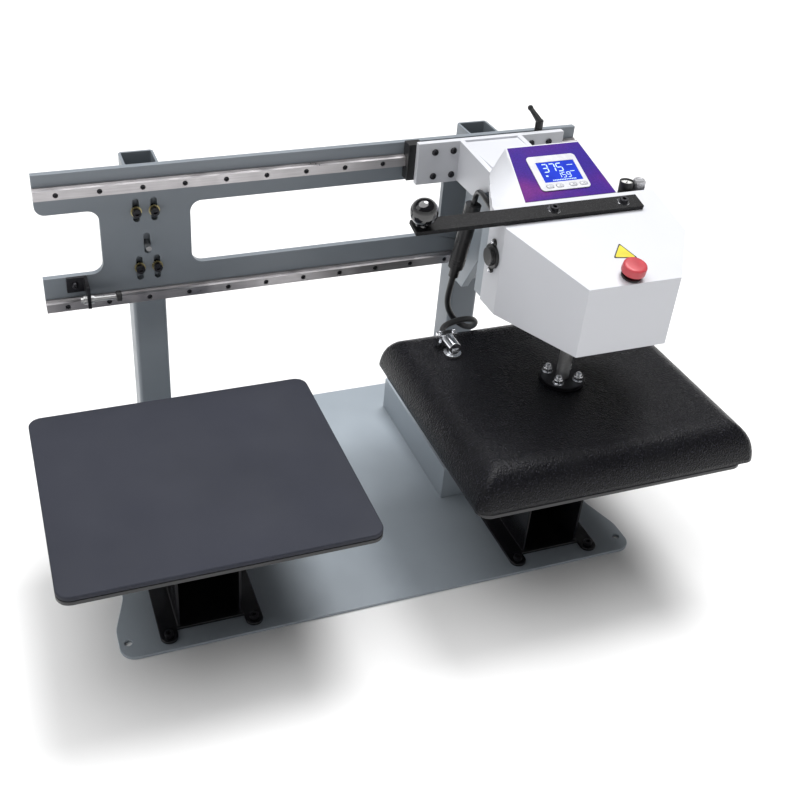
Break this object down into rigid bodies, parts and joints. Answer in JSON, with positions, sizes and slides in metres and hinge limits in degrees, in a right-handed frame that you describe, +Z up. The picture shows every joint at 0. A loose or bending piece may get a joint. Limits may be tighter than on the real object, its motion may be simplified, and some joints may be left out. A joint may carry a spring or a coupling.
{
  "type": "twin table shuttle heat press",
  "caption": "Shuttle heat press: a head with a heated platen slides along two rails between padded tables on a steel base, with a sloped control panel and a start button.",
  "frame": {"origin": "centre of the base plate's underside, under the middle of the rails", "axes": "+X to the operator's right along the rails, +Y to the rear, +Z up"},
  "size_m": [0.9512, 0.6185, 0.5877],
  "materials": {
    "frame_grey": "grey powder coat, satin",
    "gloss_black": "black gloss paint",
    "wrinkle_black": "black wrinkle coat",
    "white_coat": "white powder coat, smooth",
    "rail_steel": "ground steel",
    "bare_steel": "machined steel",
    "bright_chrome": "bright chrome plate",
    "zinc": "yellow zinc plate",
    "black_oxide": "black oxide",
    "alloy": "cast and machined aluminium",
    "black_alloy": "aluminium with a black coat",
    "pad_rubber": "charcoal silicone sponge",
    "black_rubber": "black rubber",
    "black_plastic": "black moulded plastic",
    "gloss_ball": "black phenolic, polished",
    "red_plastic": "red plastic",
    "purple_film": "printed violet overlay",
    "white_plastic": "white plastic",
    "screen_blue": "blue liquid crystal display",
    "board_green": "green circuit board",
    "blanket_white": "ceramic fibre blanket",
    "cylinder_alloy": "anodised aluminium tube"
  },
  "bodies": {
    "frame": {"base_plate": "frame_grey", "posts": "frame_grey", "rail_plate": "frame_grey", "rail_plate_bolts": "black_oxide", "rail_plate_washers": "zinc", "adjusting_studs": "bare_steel", "rails": "rail_steel", "rail_screws": "black_oxide", "stop_brackets": "black_oxide", "stop_studs": "bare_steel", "stop_bumpers": "black_rubber", "stop_bolts": "black_oxide", "tables": "black_alloy", "table_pads": "pad_rubber", "table_stands": "gloss_black", "stand_bolts": "black_oxide", "service_box": "frame_grey", "power_inlet": "black_plastic", "air_valve": "alloy"},
    "carriage": {"guide_blocks": "rail_steel", "guide_block_caps": "black_plastic", "rail_clamp": "alloy", "carriage_plate": "white_coat", "lower_carriage_plate": "white_coat", "carriage_bolts": "black_oxide", "carriage_arms": "white_coat", "head_frame": "frame_grey", "head_hood": "white_coat", "button_collar": "black_plastic", "side_socket": "black_plastic", "handle_bar": "wrinkle_black", "handle_screws": "black_oxide", "handle_knob": "gloss_ball", "control_box": "white_coat", "panel_overlay": "purple_film", "panel_bezel": "white_plastic", "lcd_screen": "screen_blue", "control_board": "board_green", "air_cylinder": "cylinder_alloy", "cord_connector": "black_plastic", "air_regulator": "alloy", "pressure_gauge": "black_plastic", "heater_cord": "black_rubber"},
    "platen": {"spindle": "bare_steel", "platen_cover": "wrinkle_black", "heat_platen": "black_alloy", "temperature_probe": "bare_steel", "pressure_block": "bare_steel", "spindle_foot": "black_oxide", "foot_studs": "bright_chrome", "heating_element": "bare_steel", "insulation_blanket": "blanket_white", "cord_clamp": "bright_chrome"},
    "press_button": {"start_button": "red_plastic"},
    "first_key": {"key_1": "white_plastic"},
    "second_key": {"key_2": "white_plastic"},
    "third_key": {"key_3": "white_plastic"},
    "fourth_key": {"key_4": "white_plastic"},
    "lever": {"clamp_lever": "black_plastic"},
    "pressure_knob": {"regulator_knob": "alloy"}
  },
  "joints": [
    {"name": "shuttle", "type": "slide", "parent": "frame", "child": "carriage", "axis": [1, 0, 0], "range_m": [-0.536, 0]},
    {"name": "platen_lift", "type": "slide", "parent": "carriage", "child": "platen", "axis": [0, 0, 1], "range_m": [0, 0.05], "deforming": ["heater_cord"]},
    {"name": "start_button_press", "type": "slide", "parent": "carriage", "child": "press_button", "axis": [0, 0.2334, -0.9724], "range_m": [0, 0.005], "stiffness_N_per_m": 400},
    {"name": "first_key_press", "type": "slide", "parent": "carriage", "child": "first_key", "axis": [0, 0.3714, -0.9285], "range_m": [0, 0.0005], "stiffness_N_per_m": 1500},
    {"name": "second_key_press", "type": "slide", "parent": "carriage", "child": "second_key", "axis": [0, 0.3714, -0.9285], "range_m": [0, 0.0005], "stiffness_N_per_m": 1500},
    {"name": "third_key_press", "type": "slide", "parent": "carriage", "child": "third_key", "axis": [0, 0.3714, -0.9285], "range_m": [0, 0.0005], "stiffness_N_per_m": 1500},
    {"name": "fourth_key_press", "type": "slide", "parent": "carriage", "child": "fourth_key", "axis": [0, 0.3714, -0.9285], "range_m": [0, 0.0005], "stiffness_N_per_m": 1500},
    {"name": "clamp_lever_turn", "type": "hinge", "parent": "carriage", "child": "lever", "pos_m": [0.346, 0.129, 0.5405], "axis": [0, 0, 1], "range_deg": [-30, 90]},
    {"name": "pressure_knob_turn", "type": "hinge", "parent": "carriage", "child": "pressure_knob", "pos_m": [0.376, -0.1055, 0.54], "axis": [0, 0, 1], "range_deg": [-360, 360]}
  ]
}
